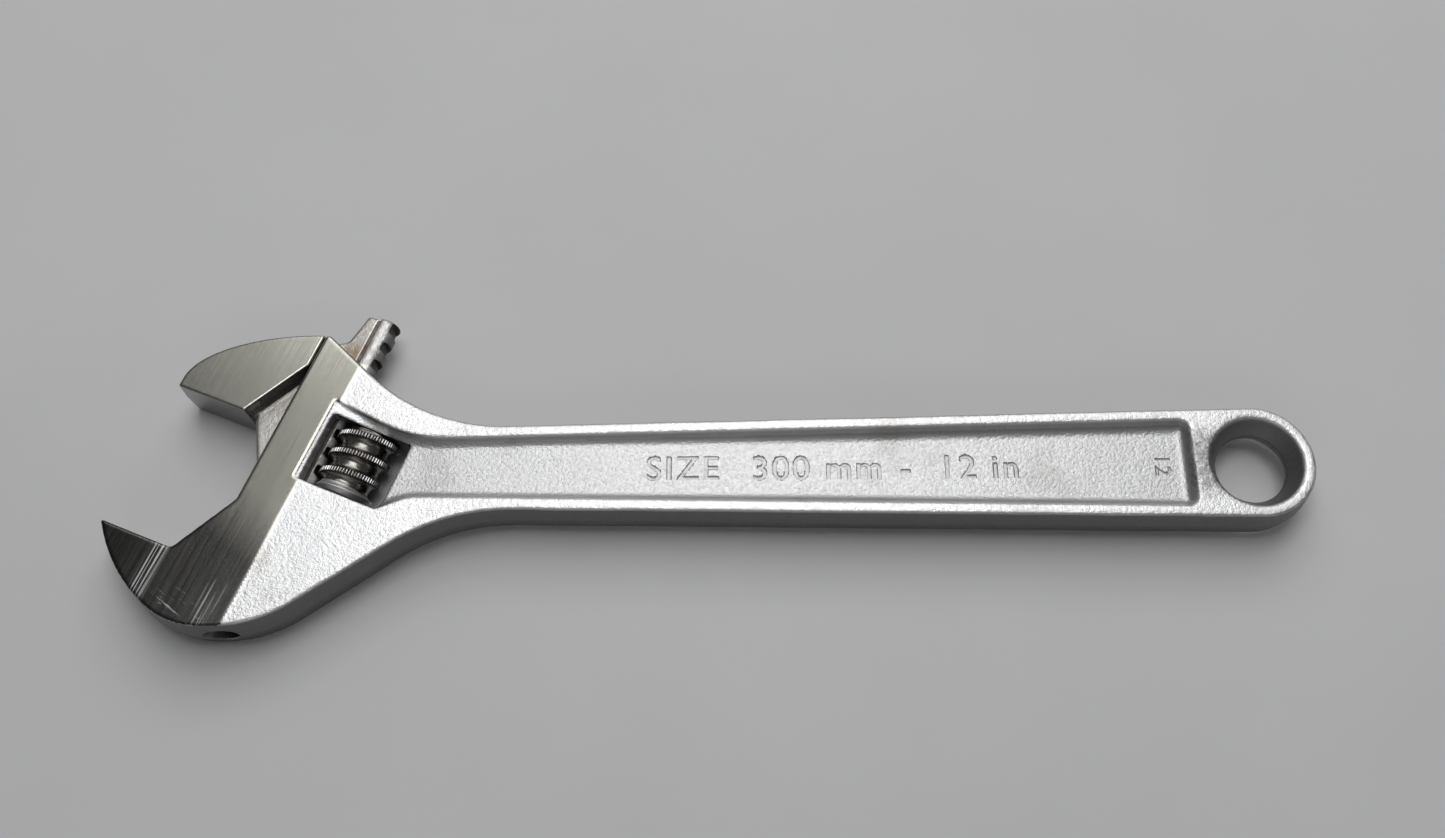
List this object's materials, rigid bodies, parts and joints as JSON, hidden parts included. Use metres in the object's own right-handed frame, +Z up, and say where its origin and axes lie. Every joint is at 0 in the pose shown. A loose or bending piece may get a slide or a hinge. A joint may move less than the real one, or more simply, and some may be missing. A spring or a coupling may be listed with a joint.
{
  "type": "adjustable wrench",
  "caption": "Open-ended hand wrench with a forged handle, a hang hole and a toothed sliding jaw that a knurled worm in the head opens and closes.",
  "frame": {"origin": "middle of the bounding box of the assembly in plan, at the level of the face it lies on", "axes": "+X along the handle towards the hang hole, +Z up out of the flat side it lies on, +Y across the handle towards the movable jaw"},
  "size_m": [0.3042, 0.086, 0.0158],
  "materials": {
    "forged_body": "satin chrome plate over a forged skin, ground bright on the jaw band",
    "jaw_steel": "satin chrome plate, ground faces with lines along the slide",
    "worm_steel": "turned and knurled, slightly dark",
    "spring_steel": "drawn wire, slightly dark",
    "pin_steel": "turned, slotted end"
  },
  "bodies": {
    "body": {"wrench_body": "forged_body", "worm_pin": "pin_steel", "worm_spring": "spring_steel"},
    "jaw": {"movable_jaw": "jaw_steel"},
    "worm": {"adjusting_worm": "worm_steel"}
  },
  "joints": [
    {"name": "jaw_slide", "type": "slide", "parent": "body", "child": "jaw", "axis": [0.3746, 0.9272, 0], "range_m": [-0.0384, 0.001]},
    {"name": "worm_spin", "type": "hinge", "parent": "body", "child": "worm", "pos_m": [-0.09131, 0.00106, 0.0079], "axis": [0.3746, 0.9272, 0], "range_deg": [-70, 2612]}
  ],
  "couplings": [
    {"joint": "worm_spin", "follows": "jaw_slide", "rad_per_m": -1185.5}
  ]
}
